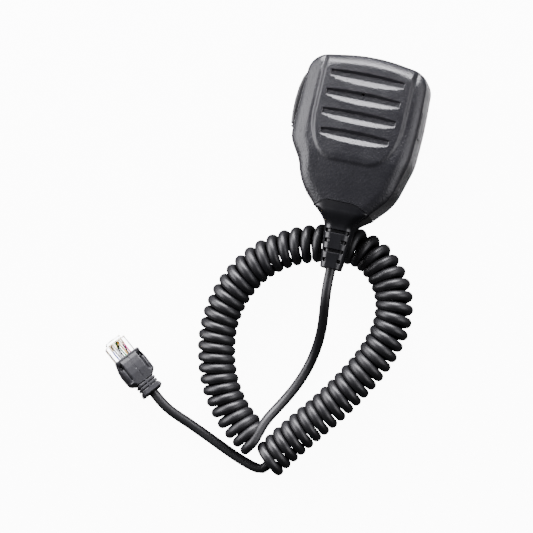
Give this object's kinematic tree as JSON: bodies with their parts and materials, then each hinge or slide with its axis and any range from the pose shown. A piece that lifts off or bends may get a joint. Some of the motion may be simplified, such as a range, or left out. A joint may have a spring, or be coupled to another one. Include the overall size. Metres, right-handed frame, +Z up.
{
  "type": "hand microphone",
  "caption": "Hand microphone with slotted front, push-to-talk bar, hanger button on the back, curly cord and modular plug, lying face up.",
  "frame": {"origin": "under the middle of the microphone itself (without the free cord), on the surface it lies on", "axes": "+Z up, off the surface; +Y towards the microphone's top end, away from its cord; +X to its right seen from the front, away from the push-to-talk bar"},
  "size_m": [0.1518, 0.215, 0.0373],
  "materials": {
    "case_plastic": "fine spark-eroded grain, matt",
    "ptt_plastic": "fine grain, matt",
    "seal_rubber": "matt",
    "screw_steel": "zinc plated",
    "pin_steel": "bright",
    "switch_nylon": "matt",
    "button_plastic": "satin",
    "board_laminate": "solder resist",
    "chip_epoxy": "moulded",
    "capacitor_can": "sleeved can",
    "capsule_can": "spun can",
    "acoustic_cloth": "woven",
    "wire_copper": "tinned wire",
    "connector_nylon": "natural nylon",
    "lead_pvc": "coloured insulation",
    "clamp_plastic": "matt",
    "cord_jacket": "smooth satin jacket",
    "relief_rubber": "smooth satin",
    "plug_clear": "clear polycarbonate",
    "contact_gold": "gold flashed",
    "wire_colours": "coloured insulation",
    "plug_boot_plastic": "moulded, satin"
  },
  "bodies": {
    "microphone": {"front_case": "case_plastic", "rear_case": "case_plastic", "case_gasket": "seal_rubber", "case_screws": "screw_steel", "side_blank_cover": "case_plastic", "ptt_pivot_pin": "pin_steel", "ptt_seal": "seal_rubber", "ptt_switch_body": "switch_nylon", "hanger_button": "button_plastic", "hanger_screw": "screw_steel", "hanger_washer": "screw_steel", "hanger_nut": "screw_steel", "circuit_board": "board_laminate", "board_screws": "screw_steel", "amplifier_chip": "chip_epoxy", "board_capacitors": "capacitor_can", "board_resistors": "chip_epoxy", "mic_capsule": "capsule_can", "capsule_holder": "seal_rubber", "acoustic_cloth": "acoustic_cloth", "capsule_leads": "wire_copper", "board_header": "connector_nylon", "lead_connector": "connector_nylon", "lead_wires": "lead_pvc", "cord_clamp": "clamp_plastic", "clamp_screws": "screw_steel", "cord_entry": "cord_jacket", "strain_relief": "relief_rubber", "cord_tail_mic": "cord_jacket", "cord_tail_plug": "cord_jacket", "cord_coil": "cord_jacket", "plug_body": "plug_clear", "plug_contacts": "contact_gold", "plug_wires": "wire_colours", "plug_boot": "plug_boot_plastic", "plug_cord_end": "cord_jacket"},
    "ptt_bar": {"ptt_bar": "ptt_plastic"},
    "ptt_plunger": {"ptt_switch_plunger": "switch_nylon"},
    "plug_latch": {"plug_latch": "plug_clear"}
  },
  "joints": [
    {"name": "ptt_hinge", "type": "hinge", "parent": "microphone", "child": "ptt_bar", "pos_m": [-0.0279, 0.03731, 0.01972], "axis": [0, 0.0872, 0.9962], "range_deg": [0, 4.5], "stiffness_Nm_per_rad": 0.4, "springref_deg": -5.73},
    {"name": "ptt_plunger_slide", "type": "slide", "parent": "microphone", "child": "ptt_plunger", "axis": [1, 0, 0], "range_m": [0, 0.0017]},
    {"name": "plug_latch_flex", "type": "hinge", "parent": "microphone", "child": "plug_latch", "pos_m": [-0.10131, -0.11381, 0.00361], "axis": [-0.5831, -0.733, 0.3502], "range_deg": [0, 7], "stiffness_Nm_per_rad": 0.3, "springref_deg": -2.86}
  ],
  "couplings": [
    {"joint": "ptt_plunger_slide", "follows": "ptt_hinge", "m_per_rad": 0.0209}
  ]
}
